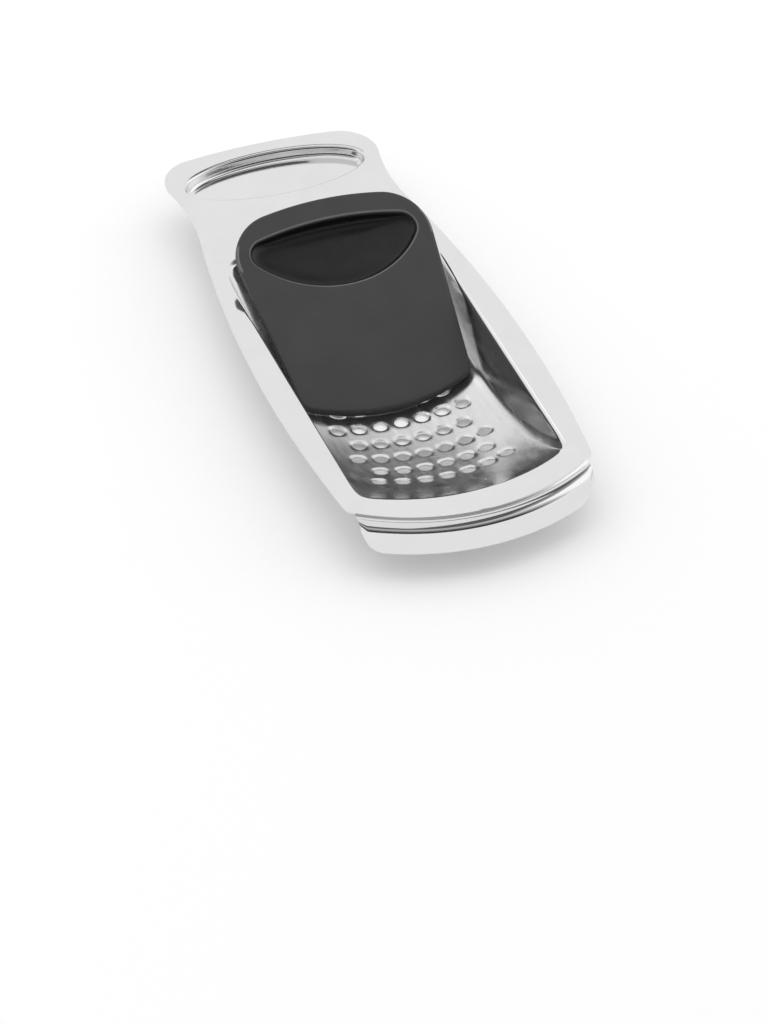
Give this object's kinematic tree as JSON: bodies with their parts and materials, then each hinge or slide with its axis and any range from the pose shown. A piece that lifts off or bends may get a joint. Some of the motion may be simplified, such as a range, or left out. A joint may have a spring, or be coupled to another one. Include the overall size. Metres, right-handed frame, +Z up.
{
  "type": "spaetzle maker",
  "caption": "Pressed steel tray with a dished perforated trough that hooks over a pot's rim, with a loose hand scraper that wipes batter through the holes.",
  "frame": {"origin": "under the crown of the front hook's bead, on the centreline, where the pot's rim seats", "axes": "+X lateral, +Y from the hook to the handle, +Z up, square to the flange"},
  "size_m": [0.138, 0.3234, 0.0596],
  "materials": {
    "polished_steel": "mirror-polished stainless steel with fine handling marks",
    "charcoal_plastic": "matt charcoal moulding with a fine grain, smoother in the finger recess"
  },
  "bodies": {
    "tray": {"perforated_tray": "polished_steel"},
    "scraper": {"dough_scraper": "charcoal_plastic"}
  },
  "joints": [
    {"name": "scraper_stroke", "type": "hinge", "parent": "tray", "child": "scraper", "pos_m": [0, 0.12825, 0.18241], "axis": [1, 0, 0], "range_deg": [-20, 18]}
  ]
}
